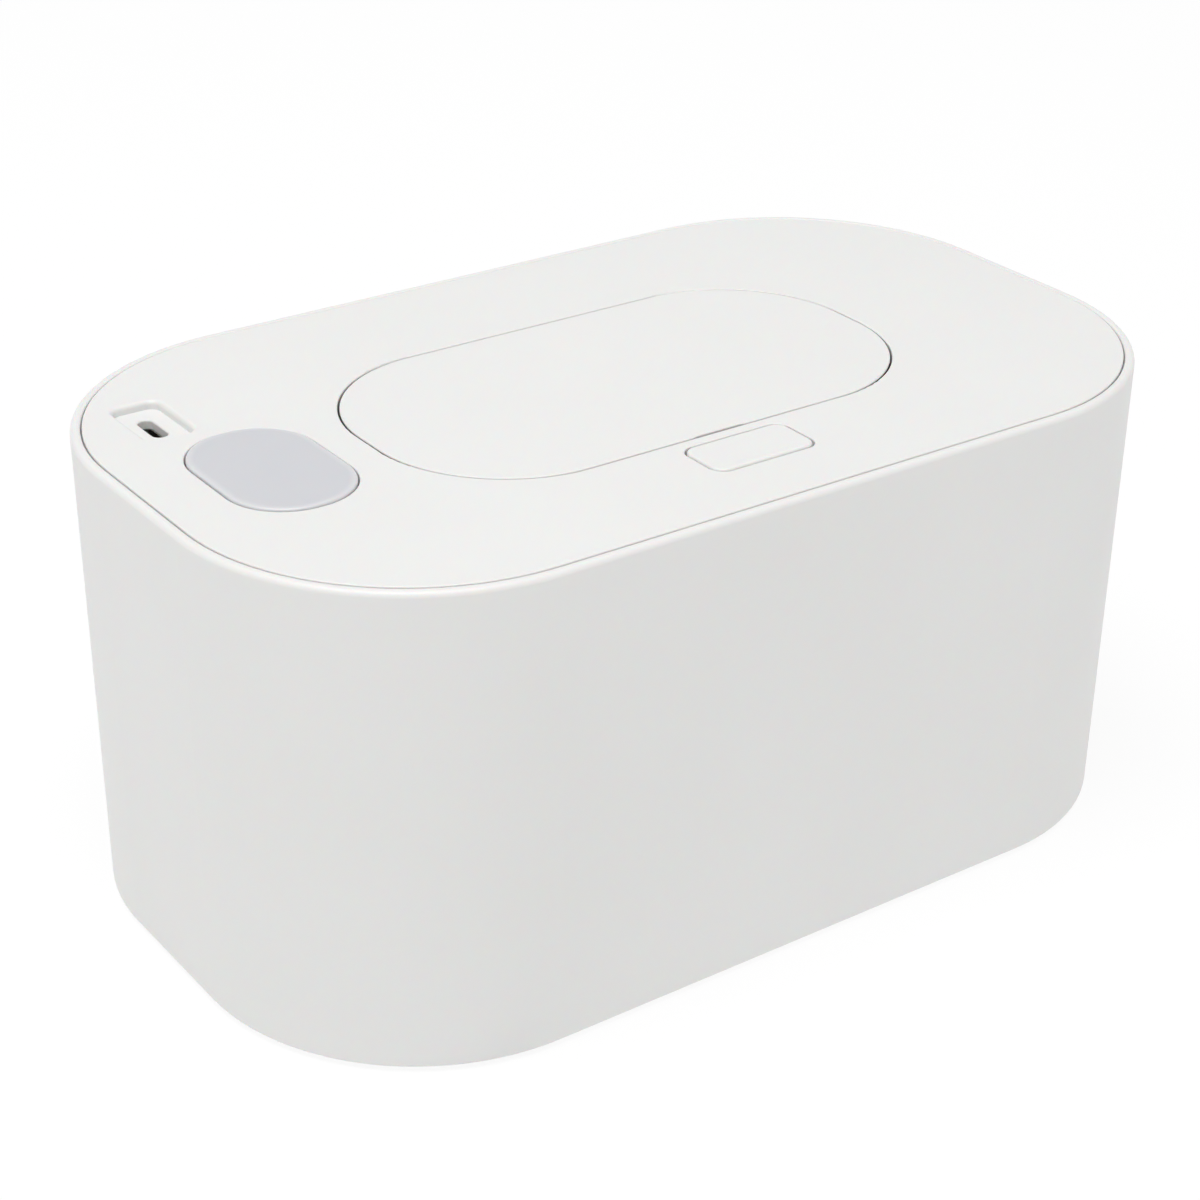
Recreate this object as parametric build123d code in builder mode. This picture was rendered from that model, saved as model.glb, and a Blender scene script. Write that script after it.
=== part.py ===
"""Baby wipe warmer: an open case, a lift-off cover with the heater and its controls, and a sprung flip lid.

Frame: millimetres, +Z up, origin on the surface that the warmer stands on, under the middle of the case.
-X is the end with the charging socket and the display key. -Y is the front, where the lid opens.
"""

import os
from math import hypot, pi, sqrt

from build123d import *

# ---------------------------------------------------------------- driving dimensions
# Case
case_length = 210.0
case_width = 127.5
case_height = 97.8
corner_radius = 48.0
case_wall = 3.6
case_floor = 3.0
case_draft = 0.5  # degrees, narrower at the foot
rim_wall = 2.0  # the wall above the ledge that the cover sits on
rim_round = 1.1
rim_inner_round = 0.5
foot_round = 0.8
floor_round = 3.0

# Feet
foot_radius = 6.0
foot_proud = 1.0
foot_sunk = 0.8
foot_inset = 30.0  # from the case's sides to the middle of a foot
foot_chamfer = 0.3

# Cover
cover_gap = 0.25
cover_proud = 0.05  # above the rim
cover_plate = 2.2
cover_edge_round = 0.3
opening_round = 0.3
skirt_gap = 0.5
skirt_wall = 1.8
gasket_sunk = 0.8
gasket_proud = 0.2
gasket_height = 3.0
gasket_drop = 6.0  # from the cover plate to the gasket
gasket_fit = 0.02

# Lid and the well under it
lid_end_inset = 47.9  # from the case's outline to the lid's, at the ends
lid_side_inset = 32.45
lid_end_flat = 7.2  # straight part of the lid's rounded ends
lid_centre_x = -0.6
lid_centre_y = -1.0
lid_gap = 0.4
lid_skin = 2.0
lid_edge = 0.4  # upright part of the lid's edge, above its bevel
lid_edge_round = 0.3
lid_rib_inset = 2.0
lid_rib_width = 1.4
lid_rib_height = 2.5
notch_width = 12.6
notch_depth = 0.35
notch_ramp = 1.2  # length of the slope at each end of the notch
well_depth = 15.5
well_wall = 1.6
well_floor = 1.8

# Dispensing aperture
aperture_end_inset = 16.1  # from the lid's outline to the aperture's, at the ends
aperture_side_inset = 15.3
aperture_shift = 5.0  # from the lid's middle towards the front
collar_wall = 1.6
collar_height = 8.5
collar_round = 0.5

# Lid liner and its seal
liner_margin = 6.0  # beyond the aperture, all round
liner_wall = 1.4
liner_height = 3.5
seal_width = 3.2
seal_sunk = 0.6
seal_fit = 0.02
seal_chamfer = 0.4

# Hinge: swan-neck arms that swing round the edge of the cover plate
hinge_setback = 5.6  # from the lid's rear edge back to the pins
hinge_depth = 4.9  # from the lid's top face down to the pins
hinge_inset = 7.4  # from the end of the straight rear edge to the middle of an arm
arm_width = 5.0
arm_thickness = 2.2
arm_clearance = 0.4  # between an arm and the cover plate's edge
arm_gap = 0.35  # beside an arm
eye_radius = 2.0
pin_radius = 1.0
pin_running = 0.05
pin_hold = 0.02
pin_overhang = 0.7
hinge_rear_gap = 0.35

# Lid springs, one beside each arm
lid_wire = 0.3
lid_coil_radius = 1.7
lid_coil_turns = 5.5
lid_coil_pitch = 0.7
lid_rear_leg = 6.0
lid_front_leg = 8.3
spring_peg_radius = 0.9
spring_peg_gap = 0.05

# Release button
button_length = 23.1
button_width = 11.7
button_corner = 2.7
button_gap = 0.4
button_shift = 0.15  # from the lid's middle line towards the plain end
button_strip = 3.3  # from the lid's front edge to the button
button_proud = 0.15
button_edge_round = 0.6
button_skin = 1.8
button_skirt = 1.4
button_travel = 2.0
wing_reach = 1.5  # under the cover plate
wing_length = 5.0
wing_thickness = 1.0
wing_hold = 0.05
wedge_ratio = 0.8  # slider travel for each millimetre of button travel
wedge_width = 6.0
wedge_tip = 0.6
wedge_setback = 2.0  # from the button's middle back to the wedge's upright face
wedge_gap = 0.08
wedge_side_gap = 0.3
wedge_engaged = 1.8  # how far the wedge reaches into the slider at rest

# Latch slider, its hook and its carrier
slider_drop = 0.4  # from the pressed button's wings to the slider
slider_width = 13.4
slider_thickness = 2.2
slider_gap = 0.2
hook_width = 8.0
hook_bevel = 1.0
hook_clearance = 0.2  # from the catch's nose
window_gap = 0.3
catch_width = 12.0
catch_inset = 1.2  # from the lid's front edge
catch_thickness = 1.6
catch_proud = 0.2  # how far the nose passes the lid's front edge
catch_drop = 0.2  # from the hook's underside to the nose's top
nose_lip = 0.4
nose_height = 1.5
carrier_plate = 1.5
carrier_wall = 1.5
carrier_gap = 0.3  # from the well
carrier_front_gap = 1.0  # from the skirt
pad_width = 5.0
pad_height = 3.8
pad_thickness = 1.2
latch_spring_length = 4.2
latch_wire = 0.25
latch_coil_radius = 1.4
latch_coil_turns = 4
latch_boss_spacing = 33.0

# Display key
key_width = 24.7
key_side_inset = 45.3  # from the case's outline to the key's ends
key_corner = 11.8
key_gap = 0.3
key_inset = 26.9  # from the case's end to the key's middle
key_centre_y = -0.6
key_proud = 0.3
key_edge_round = 0.5
key_travel = 0.5
lens_thickness = 1.5
flange_reach = 1.0  # under the cover plate
flange_thickness = 1.2
flange_hold = 0.1
display_width = 14.0
display_gap = 0.7
display_clearance = 0.5  # below the pressed lens
switch_size = 6.0
switch_height = 3.5
switch_chamfer = 0.3
switch_inset = 5.25  # from the key's ends to the middle of a switch
switch_gap = 2.7  # from a switch to the display
plunger_radius = 1.7
plunger_gap = 0.15
plunger_proud = 0.8
plunger_sunk = 1.2
plunger_room = 0.4  # below the pressed plunger
post_radius = 2.0

# Charging socket and its pocket
pocket_width = 9.8
pocket_length = 17.2
pocket_corner = 2.3
pocket_depth = 1.75
pocket_floor = 1.8
pocket_wall = 1.2
pocket_round = 0.9
socket_inset = 19.0  # from the case's end to the socket's middle
socket_side_inset = 32.85
slot_length = 8.9
slot_width = 3.1
slot_round = 0.4
shell_length = 8.94
shell_width = 3.26
shell_wall = 0.3
shell_gap = 0.1  # below the pocket's floor
tongue_length = 6.7
tongue_thickness = 0.7
tongue_setback = 1.0
tongue_base = 1.4
tongue_fit = 0.02
tongue_round = 0.2

# Control board
board_width = 34.0
board_side_inset = 26.75  # half of what the board leaves free across the case
board_corner = 12.0
board_inset = 26.0  # from the case's end to the board's middle
board_centre_y = 3.0
board_thickness = 1.6
board_drop = 10.5  # from the cover's top face to the board
board_screw_right = 6.5  # from the board's edges to its screws
board_screw_left = 8.0
board_screw_front = 7.5
board_screw_rear = 10.0
chip_size = 7.0
chip_height = 1.0
chip_chamfer = 0.25
capacitor_radius = 2.5
capacitor_height = 3.6
capacitor_round = 0.4
capacitor_spacing = 6.5
coil_size = 6.0
coil_height = 3.0
coil_corner = 1.0
coil_inset = 6.0  # from the board's left edge to the coil's middle
coil_offset = 12.0  # from the board's middle towards the rear
plug_inset = 6.0  # from the board's edge to the middle of a plug
plug_width = 4.0
plug_length = 8.0
plug_height = 3.5
plug_chamfer = 0.4

# Screws
cover_screw_radius = 1.15
cover_screw_length = 7.0
cover_head_radius = 2.4
cover_head_height = 1.5
cover_boss_radius = 3.0
cover_screw_end_inset = 43.0
cover_screw_side_inset = 13.75
end_screw_inset = 13.0
end_screw_y = 18.0
small_screw_radius = 0.9
small_screw_length = 5.0
small_head_radius = 1.8
small_head_height = 1.0
small_boss_radius = 2.4
screw_hold = 0.03
screw_hole_gap = 0.2
drive_width = 0.5
drive_share = 1.2  # length of the cross recess, as a multiple of the head's radius
drive_depth = 0.6

# Inner cover and heater
inner_cover_thickness = 1.8
inner_cover_gap = 0.3
heater_end_inset = 23.0
heater_side_inset = 17.75
heater_corner = 30.0
heater_sheet = 1.0
heater_round = 0.6
film_thickness = 0.3
foam_thickness = 3.0
foam_gap = 0.3
heater_screw_end_inset = 12.0
heater_screw_side_inset = 20.0
sensor_radius = 1.2
sensor_length = 7.0
fuse_radius = 1.3
fuse_length = 10.0
fuse_chamfer = 0.4
sensor_spacing = 8.0  # from a plug's middle to the part that it serves
lead_radius = 0.5
lead_spacing = 3.0
lead_hole_gap = 0.3
plug_spacing = 22.0

# How far a cutting shape passes the faces that it opens, and how near an edge has to be to be picked
overrun = 1.0
level_tolerance = 0.001

# ---------------------------------------------------------------- heights and places that follow
rim_z = foot_proud + case_height
cover_z = rim_z + cover_proud
ledge_z = cover_z - cover_plate
floor_z = foot_proud + case_floor
well_z = cover_z - well_depth
well_under_z = well_z - well_floor
inner_under_z = well_under_z - inner_cover_thickness
foam_under_z = inner_under_z - foam_thickness
film_under_z = foam_under_z - film_thickness
heater_z = film_under_z - heater_sheet
collar_z = well_z + collar_height
board_z = cover_z - board_drop
board_under_z = board_z - board_thickness

skirt_inset = case_wall + skirt_gap
inner_inset = skirt_inset + skirt_wall

lid_length = case_length - 2 * lid_end_inset
lid_width = case_width - 2 * lid_side_inset
lid_corner = (lid_width - lid_end_flat) / 2
lid_centre = (lid_centre_x, lid_centre_y)
lid_front_y = lid_centre_y - lid_width / 2
lid_rear_y = lid_centre_y + lid_width / 2
skin_under_z = cover_z - lid_skin
liner_z = skin_under_z - liner_height
aperture_length = lid_length - 2 * aperture_end_inset
aperture_width = lid_width - 2 * aperture_side_inset
aperture_centre = (lid_centre_x, lid_centre_y - aperture_shift)
well_front_y = lid_front_y - lid_gap

hinge_y = lid_rear_y + hinge_setback
hinge_z = cover_z - hinge_depth
arm_radius = hypot(hinge_setback - lid_gap, hinge_depth) + arm_clearance + arm_thickness / 2
lid_coil_slope = lid_coil_pitch / (2 * pi * lid_coil_radius)
lid_spring_length = lid_coil_turns * lid_coil_pitch + 2 * lid_wire
lid_spring_length += (lid_rear_leg + lid_front_leg) * lid_coil_slope
hinge_room = arm_width + lid_spring_length + 3 * arm_gap
hinge_box_shift = (hinge_room - arm_width - 2 * arm_gap) / 2
hinge_box_rear_y = hinge_y + eye_radius + hinge_rear_gap
arm_offset = lid_length / 2 - lid_corner - hinge_inset
arms_at = [(side, lid_centre_x + side * arm_offset) for side in (-1, 1)]
spring_peg_y = -(lid_coil_radius + lid_wire + spring_peg_gap + spring_peg_radius)
spring_peg_z = -sqrt(arm_radius**2 - spring_peg_y**2)

button_x = lid_centre_x + button_shift
button_y = lid_front_y - button_strip - button_width / 2
button_centre = (button_x, button_y)
button_under_z = cover_z + button_proud - button_skin
wing_z = ledge_z - wing_hold
wing_under_z = wing_z - wing_thickness
slider_z = wing_under_z - button_travel - slider_drop
slider_under_z = slider_z - slider_thickness
slider_middle_z = slider_z - slider_thickness / 2
carrier_z = slider_under_z - slider_gap
catch_y = lid_front_y + catch_inset
nose_y = lid_front_y - catch_proud
nose_z = slider_under_z - catch_drop
hook_y = nose_y - hook_clearance
shoulder_y = well_front_y - well_wall - slider_gap
seat_y = -case_width / 2 + inner_inset + carrier_front_gap + carrier_wall
pad_front_y = seat_y + latch_spring_length
slider_front_y = pad_front_y + pad_thickness
slider_travel = button_travel * wedge_ratio
slider_body_y = slider_front_y + slider_travel + slider_gap
wedge_y = button_y + wedge_setback
wedge_tip_z = slider_z - wedge_engaged
wedge_pressed_z = wedge_tip_z - button_travel
latch_bosses_at = [(button_x + side * latch_boss_spacing / 2, button_y) for side in (-1, 1)]

key_centre = (-case_length / 2 + key_inset, key_centre_y)
key_length = case_width - 2 * key_side_inset
switch_spacing = key_length - 2 * switch_inset
display_length = switch_spacing - switch_size - 2 * switch_gap
lens_under_z = cover_z + key_proud - lens_thickness
flange_z = ledge_z - flange_hold
flange_under_z = flange_z - flange_thickness
switch_z = board_z + switch_height
plunger_z = switch_z + plunger_proud
display_z = lens_under_z - key_travel - display_clearance
switches_at = [(key_centre[0], key_centre_y + side * switch_spacing / 2) for side in (-1, 1)]

socket_centre = (-case_length / 2 + socket_inset, case_width / 2 - socket_side_inset)
pocket_z = cover_z - pocket_depth
pocket_under_z = pocket_z - pocket_floor
shell_z = pocket_under_z - shell_gap

board_centre = (-case_length / 2 + board_inset, board_centre_y)
board_length = case_width - 2 * board_side_inset
board_left = board_centre[0] - board_width / 2
board_right = board_centre[0] + board_width / 2
board_front = board_centre_y - board_length / 2
board_rear = board_centre_y + board_length / 2
board_screws_at = [
    (board_right - board_screw_right, board_rear - board_screw_rear),
    (board_right - board_screw_right, board_front + board_screw_front),
    (board_left + board_screw_left, board_front + board_screw_front),
]
plugs_at = [(board_right - plug_inset, board_centre_y + side * plug_spacing / 2) for side in (-1, 1)]
leads_at = [(x, y + side * lead_spacing / 2) for x, y in plugs_at for side in (-1, 1)]
sensor_centre = (plugs_at[0][0] + sensor_spacing, plugs_at[0][1])
fuse_centre = (plugs_at[1][0] + sensor_spacing, plugs_at[1][1])

cover_screws_at = [
    (x * (case_length / 2 - cover_screw_end_inset), y * (case_width / 2 - cover_screw_side_inset))
    for x in (-1, 1)
    for y in (-1, 1)
]
cover_screws_at += [(case_length / 2 - end_screw_inset, y) for y in (-end_screw_y, end_screw_y)]
heater_screws_at = [
    (
        x * (case_length / 2 - heater_end_inset - heater_screw_end_inset),
        y * (case_width / 2 - heater_side_inset - heater_screw_side_inset),
    )
    for x in (-1, 1)
    for y in (-1, 1)
]


def case_outline(inset):
    """Length, width and corner radius of the case's outline, moved in by inset."""
    return case_length - 2 * inset, case_width - 2 * inset, corner_radius - inset


def lid_outline(grow):
    """Length, width and corner radius of the lid's outline, moved out by grow."""
    return lid_length + 2 * grow, lid_width + 2 * grow, lid_corner + grow


def aperture_outline(grow):
    """Length and width of the aperture's outline, moved out by grow."""
    return aperture_length + 2 * grow, aperture_width + 2 * grow


def key_outline(grow):
    """Width, length and corner radius of the display key's outline, moved out by grow."""
    return key_width + 2 * grow, key_length + 2 * grow, key_corner + grow


def button_outline(grow):
    """Length, width and corner radius of the release button's outline, moved out by grow."""
    return button_length + 2 * grow, button_width + 2 * grow, button_corner + grow


def pocket_outline(grow):
    """Width, length and corner radius of the socket's pocket, moved out by grow."""
    return pocket_width + 2 * grow, pocket_length + 2 * grow, pocket_corner + grow


def heater_outline(inset):
    """Length, width and corner radius of the heater tray's outline, moved in by inset."""
    length = case_length - 2 * (heater_end_inset + inset)
    width = case_width - 2 * (heater_side_inset + inset)
    return length, width, heater_corner - inset


def level(z):
    """The horizontal plane at height z."""
    return Plane.XY.offset(z)


def across(x, y=0.0, z=0.0):
    """A plane across the case at x, with its origin at y and z, and Y and Z for its own axes."""
    return Plane(origin=(x, y, z), x_dir=(0, 1, 0), z_dir=(1, 0, 0))


def flat_edges(part, z, centre=None, outline=None):
    """The edges of a part that lie at height z, all of them or those on and within an outline in plan."""
    found = part.edges().filter_by_position(Axis.Z, z - level_tolerance, z + level_tolerance)
    if centre is None:
        return found
    return found.filter_by(
        lambda e: abs(e.center(CenterOf.BOUNDING_BOX).X - centre[0]) < outline[0] / 2 + overrun
        and abs(e.center(CenterOf.BOUNDING_BOX).Y - centre[1]) < outline[1] / 2 + overrun
    )


def pan_screw(radius, length, head_radius, head_height):
    """A screw whose head's flat side is at the origin and whose shank goes up, with a cross recess."""
    with BuildPart(mode=Mode.PRIVATE) as screw:
        Cylinder(head_radius, head_height, align=(Align.CENTER, Align.CENTER, Align.MAX))
        fillet(flat_edges(screw, -head_height), head_height / 2)
        Cylinder(radius, length, align=(Align.CENTER, Align.CENTER, Align.MIN))
        with BuildSketch(level(-head_height)):
            Rectangle(head_radius * drive_share, drive_width)
            Rectangle(drive_width, head_radius * drive_share)
        extrude(amount=drive_depth, mode=Mode.SUBTRACT)
    return screw.part


def wire_spring(wire, radius, pitch, turns, legs=(0, 0), lefthand=False):
    """A coil that goes up Z from the origin and starts over +X, with a straight leg at each end."""
    with BuildPart(mode=Mode.PRIVATE) as spring:
        with BuildLine() as path:
            coil = Helix(pitch, turns * pitch, radius, lefthand=lefthand)
            if legs[0] > 0:
                Line(coil @ 0 - (coil % 0) * legs[0], coil @ 0)
            if legs[1] > 0:
                Line(coil @ 1, coil @ 1 + (coil % 1) * legs[1])
        with BuildSketch(Plane(origin=path.wire() @ 0, z_dir=path.wire() % 0)):
            Circle(wire)
        sweep(path=path.wire())
    return spring.part


# ---------------------------------------------------------------- case
with BuildPart() as outer_case:
    with BuildSketch(level(rim_z)):
        RectangleRounded(*case_outline(0))
    extrude(amount=-case_height, taper=case_draft)
    fillet(flat_edges(outer_case, rim_z), rim_round)
    fillet(flat_edges(outer_case, foot_proud), foot_round)
    with BuildSketch(level(rim_z)):
        RectangleRounded(*case_outline(rim_wall))
    extrude(amount=ledge_z - rim_z, mode=Mode.SUBTRACT)
    rim_face = outer_case.faces().filter_by(Axis.Z).sort_by(Axis.Z)[-1]
    fillet(rim_face.inner_wires()[0].edges(), rim_inner_round)
    with BuildPart(mode=Mode.PRIVATE) as hollow:
        with BuildSketch(level(ledge_z)):
            RectangleRounded(*case_outline(case_wall))
        extrude(amount=floor_z - ledge_z, taper=case_draft)
        fillet(flat_edges(hollow, floor_z), floor_round)
    add(hollow.part, mode=Mode.SUBTRACT)
    with BuildSketch(level(foot_proud)):
        with GridLocations(case_length - 2 * foot_inset, case_width - 2 * foot_inset, 2, 2):
            Circle(foot_radius)
    extrude(amount=foot_sunk, mode=Mode.SUBTRACT)

with BuildPart() as rubber_feet:
    with BuildSketch():
        with GridLocations(case_length - 2 * foot_inset, case_width - 2 * foot_inset, 2, 2):
            Circle(foot_radius)
    extrude(amount=foot_proud + foot_sunk)
    chamfer(flat_edges(rubber_feet, 0), foot_chamfer)

# ---------------------------------------------------------------- cover
with BuildPart() as top_cover:
    # Plate
    with BuildSketch(level(ledge_z)):
        RectangleRounded(*case_outline(rim_wall + cover_gap))
    extrude(amount=cover_plate)
    fillet(flat_edges(top_cover, cover_z), cover_edge_round)
    # Skirt that hangs into the case, and the groove round it for the gasket
    with BuildSketch(level(ledge_z)):
        RectangleRounded(*case_outline(skirt_inset))
        RectangleRounded(*case_outline(inner_inset), mode=Mode.SUBTRACT)
    extrude(amount=inner_under_z - ledge_z)
    with BuildSketch(level(ledge_z - gasket_drop)):
        RectangleRounded(*case_outline(skirt_inset - gasket_sunk))
        RectangleRounded(*case_outline(skirt_inset + gasket_sunk), mode=Mode.SUBTRACT)
    extrude(amount=-gasket_height, mode=Mode.SUBTRACT)
    # Walls and floor of the well, with a box behind it for each arm of the lid
    with BuildSketch(level(ledge_z)):
        with Locations(lid_centre):
            RectangleRounded(*lid_outline(lid_gap + well_wall))
    extrude(amount=well_under_z - ledge_z)
    for side, arm_x in arms_at:
        box_x = arm_x - side * hinge_box_shift
        with BuildSketch(level(ledge_z)):
            with Locations((box_x, (lid_centre_y + hinge_box_rear_y + well_wall) / 2)):
                Rectangle(hinge_room + 2 * well_wall, hinge_box_rear_y + well_wall - lid_centre_y)
        extrude(amount=well_under_z - ledge_z)
    with BuildSketch(level(cover_z)):
        with Locations(lid_centre):
            RectangleRounded(*lid_outline(lid_gap))
    extrude(amount=-well_depth, mode=Mode.SUBTRACT)
    for side, arm_x in arms_at:
        box_x = arm_x - side * hinge_box_shift
        with BuildSketch(level(ledge_z)):
            with Locations((box_x, (lid_centre_y + hinge_box_rear_y) / 2)):
                Rectangle(hinge_room, hinge_box_rear_y - lid_centre_y)
        extrude(amount=well_z - ledge_z, mode=Mode.SUBTRACT)
        with BuildSketch(across(box_x, hinge_y, hinge_z)):
            Circle(pin_radius + pin_hold)
        extrude(amount=hinge_room, both=True, mode=Mode.SUBTRACT)
    # Collar round the dispensing aperture
    with BuildSketch(level(well_z)):
        with Locations(aperture_centre):
            SlotOverall(*aperture_outline(collar_wall))
    extrude(amount=collar_height)
    with BuildSketch(level(collar_z)):
        with Locations(aperture_centre):
            SlotOverall(*aperture_outline(0))
    extrude(amount=well_under_z - collar_z, mode=Mode.SUBTRACT)
    # Opening for the release button, and the window for the latch's hook
    with BuildSketch(level(cover_z)):
        with Locations(button_centre):
            RectangleRounded(*button_outline(button_gap))
    extrude(amount=-cover_plate, mode=Mode.SUBTRACT)
    with BuildSketch(level(slider_z + window_gap)):
        with Locations((button_x, well_front_y - well_wall / 2)):
            Rectangle(hook_width + 2 * window_gap, 2 * well_wall)
    extrude(amount=-(slider_thickness + 2 * window_gap), mode=Mode.SUBTRACT)
    # Opening for the display key
    with BuildSketch(level(cover_z)):
        with Locations(key_centre):
            RectangleRounded(*key_outline(key_gap))
    extrude(amount=-cover_plate, mode=Mode.SUBTRACT)
    # Pocket with the slot for the charging plug
    with BuildSketch(level(pocket_under_z)):
        with Locations(socket_centre):
            RectangleRounded(*pocket_outline(pocket_wall))
    extrude(amount=ledge_z - pocket_under_z)
    with BuildSketch(level(cover_z)):
        with Locations(socket_centre):
            RectangleRounded(*pocket_outline(0))
    extrude(amount=-pocket_depth, mode=Mode.SUBTRACT)
    with BuildSketch(level(pocket_z)):
        with Locations(socket_centre):
            SlotOverall(slot_length, slot_width, rotation=90)
    extrude(amount=-pocket_floor, mode=Mode.SUBTRACT)
    # Bosses
    with BuildSketch(level(ledge_z)):
        with Locations(*cover_screws_at):
            Circle(cover_boss_radius)
    extrude(amount=well_under_z - ledge_z)
    with BuildSketch(level(ledge_z)):
        with Locations(*board_screws_at):
            Circle(small_boss_radius)
    extrude(amount=board_z - ledge_z)
    with BuildSketch(level(ledge_z)):
        with Locations(*latch_bosses_at):
            Circle(small_boss_radius)
    extrude(amount=carrier_z - ledge_z)
    with BuildSketch(level(well_under_z)):
        with Locations(*cover_screws_at):
            Circle(cover_screw_radius + screw_hold)
    extrude(amount=cover_screw_length, mode=Mode.SUBTRACT)
    for places, seat_z in ((board_screws_at, board_z), (latch_bosses_at, carrier_z)):
        with BuildSketch(level(seat_z)):
            with Locations(*places):
                Circle(small_screw_radius + screw_hold)
        extrude(amount=small_screw_length, mode=Mode.SUBTRACT)
    # Soft edges on what shows
    fillet(flat_edges(top_cover, cover_z, lid_centre, lid_outline(0)), opening_round)
    fillet(flat_edges(top_cover, cover_z, button_centre, button_outline(0)), opening_round)
    fillet(flat_edges(top_cover, cover_z, key_centre, key_outline(0)), opening_round)
    fillet(flat_edges(top_cover, cover_z, socket_centre, pocket_outline(0)), pocket_round)
    fillet(flat_edges(top_cover, pocket_z, socket_centre, (slot_width, slot_length)), slot_round)
    fillet(flat_edges(top_cover, collar_z), collar_round)

with BuildPart() as cover_gasket:
    with BuildSketch(level(ledge_z - gasket_drop - gasket_fit)):
        RectangleRounded(*case_outline(skirt_inset - gasket_proud))
        RectangleRounded(*case_outline(skirt_inset + gasket_sunk - gasket_fit), mode=Mode.SUBTRACT)
    extrude(amount=-(gasket_height - 2 * gasket_fit))

with BuildPart() as inner_cover:
    with BuildSketch(level(inner_under_z)):
        RectangleRounded(*case_outline(inner_inset + inner_cover_gap))
        with Locations(aperture_centre):
            SlotOverall(*aperture_outline(0), mode=Mode.SUBTRACT)
        with Locations(*cover_screws_at):
            Circle(cover_screw_radius + screw_hole_gap, mode=Mode.SUBTRACT)
        with Locations(*leads_at):
            Circle(lead_radius + lead_hole_gap, mode=Mode.SUBTRACT)
    extrude(amount=inner_cover_thickness)
    # Bosses that hold the heater tray
    with BuildSketch(level(inner_under_z)):
        with Locations(*heater_screws_at):
            Circle(small_boss_radius)
    extrude(amount=film_under_z - inner_under_z)
    with BuildSketch(level(film_under_z)):
        with Locations(*heater_screws_at):
            Circle(small_screw_radius + screw_hold)
    extrude(amount=small_screw_length - heater_sheet, mode=Mode.SUBTRACT)

with BuildPart() as cover_screws:
    with Locations(*[(x, y, inner_under_z) for x, y in cover_screws_at]):
        add(pan_screw(cover_screw_radius, cover_screw_length, cover_head_radius, cover_head_height))

# ---------------------------------------------------------------- heater
with BuildPart() as heater_tray:
    with BuildSketch(level(heater_z)):
        RectangleRounded(*heater_outline(0))
    extrude(amount=inner_under_z - heater_z)
    fillet(flat_edges(heater_tray, heater_z), heater_round)
    with BuildSketch(level(film_under_z)):
        RectangleRounded(*heater_outline(heater_sheet))
        with Locations(aperture_centre):
            SlotOverall(*aperture_outline(heater_sheet), mode=Mode.SUBTRACT)
    extrude(amount=inner_under_z - film_under_z, mode=Mode.SUBTRACT)
    with BuildSketch(level(heater_z)):
        with Locations(aperture_centre):
            SlotOverall(*aperture_outline(0))
    extrude(amount=inner_under_z - heater_z, mode=Mode.SUBTRACT)
    with BuildSketch(level(heater_z)):
        with Locations(*heater_screws_at):
            Circle(small_screw_radius + screw_hole_gap)
    extrude(amount=heater_sheet, mode=Mode.SUBTRACT)
    fillet(flat_edges(heater_tray, heater_z, aperture_centre, aperture_outline(0)), heater_round)

with BuildPart() as heating_film:
    with BuildSketch(level(film_under_z)):
        RectangleRounded(*heater_outline(heater_sheet + foam_gap))
        with Locations(aperture_centre):
            SlotOverall(*aperture_outline(heater_sheet + foam_gap), mode=Mode.SUBTRACT)
        with Locations(*heater_screws_at):
            Circle(small_boss_radius + foam_gap, mode=Mode.SUBTRACT)
    extrude(amount=film_thickness)

with BuildPart() as insulation_foam:
    with BuildSketch(level(foam_under_z)):
        RectangleRounded(*heater_outline(heater_sheet + foam_gap))
        with Locations(aperture_centre):
            SlotOverall(*aperture_outline(heater_sheet + foam_gap), mode=Mode.SUBTRACT)
        with Locations(*heater_screws_at):
            Circle(small_boss_radius + foam_gap, mode=Mode.SUBTRACT)
        with Locations(*leads_at):
            Circle(lead_radius + lead_hole_gap, mode=Mode.SUBTRACT)
        with Locations(sensor_centre):
            Rectangle(2 * (sensor_radius + foam_gap), sensor_length + 2 * foam_gap, mode=Mode.SUBTRACT)
        with Locations(fuse_centre):
            Rectangle(2 * (fuse_radius + foam_gap), fuse_length + 2 * foam_gap, mode=Mode.SUBTRACT)
    extrude(amount=foam_thickness)

with BuildPart() as heater_screws:
    with Locations(*[(x, y, heater_z) for x, y in heater_screws_at]):
        add(pan_screw(small_screw_radius, small_screw_length, small_head_radius, small_head_height))

with BuildPart() as thermistor:
    with BuildSketch(Plane.XZ.offset(-sensor_centre[1])):
        with Locations((sensor_centre[0], foam_under_z + sensor_radius)):
            Circle(sensor_radius)
    extrude(amount=sensor_length / 2, both=True)

with BuildPart() as thermal_fuse:
    with BuildSketch(Plane.XZ.offset(-fuse_centre[1])):
        with Locations((fuse_centre[0], foam_under_z + fuse_radius)):
            Circle(fuse_radius)
    extrude(amount=fuse_length / 2, both=True)
    chamfer(thermal_fuse.edges().filter_by(GeomType.CIRCLE), fuse_chamfer)

with BuildPart() as heater_leads:
    with BuildSketch(level(foam_under_z)):
        with Locations(*leads_at):
            Circle(lead_radius)
    extrude(amount=board_under_z - plug_height - foam_under_z)

# ---------------------------------------------------------------- control board
with BuildPart() as control_board:
    with BuildSketch(level(board_under_z)):
        with Locations(board_centre):
            RectangleRounded(board_width, board_length, board_corner)
        with Locations(*board_screws_at):
            Circle(small_screw_radius + screw_hole_gap, mode=Mode.SUBTRACT)
    extrude(amount=board_thickness)

with BuildPart() as board_screws:
    with Locations(*[(x, y, board_under_z) for x, y in board_screws_at]):
        add(pan_screw(small_screw_radius, small_screw_length, small_head_radius, small_head_height))

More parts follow.
